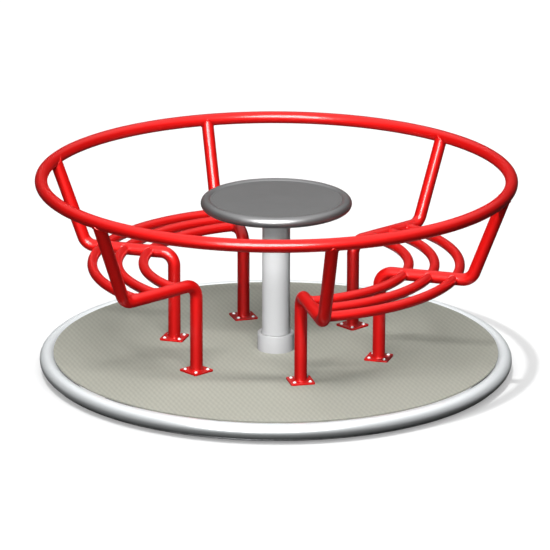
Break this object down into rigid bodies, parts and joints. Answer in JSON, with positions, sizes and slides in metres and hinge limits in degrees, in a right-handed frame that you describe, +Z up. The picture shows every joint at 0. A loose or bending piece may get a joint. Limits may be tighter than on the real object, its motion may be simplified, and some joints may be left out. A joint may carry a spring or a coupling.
{
  "type": "playground roundabout",
  "caption": "Playground roundabout: a round anti-slip platform that turns about a fixed post with a table disc, and carries curved tube benches and a ring handrail on bent tube supports.",
  "frame": {"origin": "on the ground, on the vertical axis that the platform turns about", "axes": "+Z up; the benches are centred on +X and -X; riders step on from -Y, the front, or from +Y"},
  "size_m": [1.6164, 1.6164, 0.6842],
  "materials": {
    "red_paint": "gloss red powder coat",
    "rim_metal": "bright satin steel",
    "deck": "matt anti-slip, fine diagonal ribs",
    "post_paint": "satin light grey",
    "table_panel": "matt dark grey",
    "table_roll": "semi-gloss dark grey",
    "steel": "galvanised"
  },
  "bodies": {
    "base": {"ground_plate": "steel", "bearing_ring": "steel", "centre_post": "post_paint", "table_flange": "post_paint", "table_rim": "table_roll", "table_panel": "table_panel"},
    "platform": {"rim_tube": "rim_metal", "base_ring": "steel", "deck_panel": "deck", "hub_collar": "post_paint", "deck_beam_right_middle": "steel", "deck_beam_right_rear": "steel", "deck_beam_left_rear": "steel", "deck_beam_left_middle": "steel", "deck_beam_left_front": "steel", "deck_beam_right_front": "steel", "support_right_middle": "red_paint", "support_right_rear": "red_paint", "support_left_rear": "red_paint", "support_left_middle": "red_paint", "support_left_front": "red_paint", "support_right_front": "red_paint", "foot_plate_right_middle": "red_paint", "foot_plate_right_rear": "red_paint", "foot_plate_left_rear": "red_paint", "foot_plate_left_middle": "red_paint", "foot_plate_left_front": "red_paint", "foot_plate_right_front": "red_paint", "rail_inner_right_rear_bay": "red_paint", "rail_inner_left_rear_bay": "red_paint", "rail_inner_left_front_bay": "red_paint", "rail_inner_right_front_bay": "red_paint", "rail_middle_right_rear_bay": "red_paint", "rail_middle_left_rear_bay": "red_paint", "rail_middle_left_front_bay": "red_paint", "rail_middle_right_front_bay": "red_paint", "rail_outer_right_rear_bay": "red_paint", "rail_outer_left_rear_bay": "red_paint", "rail_outer_left_front_bay": "red_paint", "rail_outer_right_front_bay": "red_paint", "top_ring": "red_paint"}
  },
  "joints": [
    {"name": "platform_spin", "type": "hinge", "parent": "base", "child": "platform", "pos_m": [0, 0, 0], "axis": [0, 0, 1], "continuous": true}
  ]
}
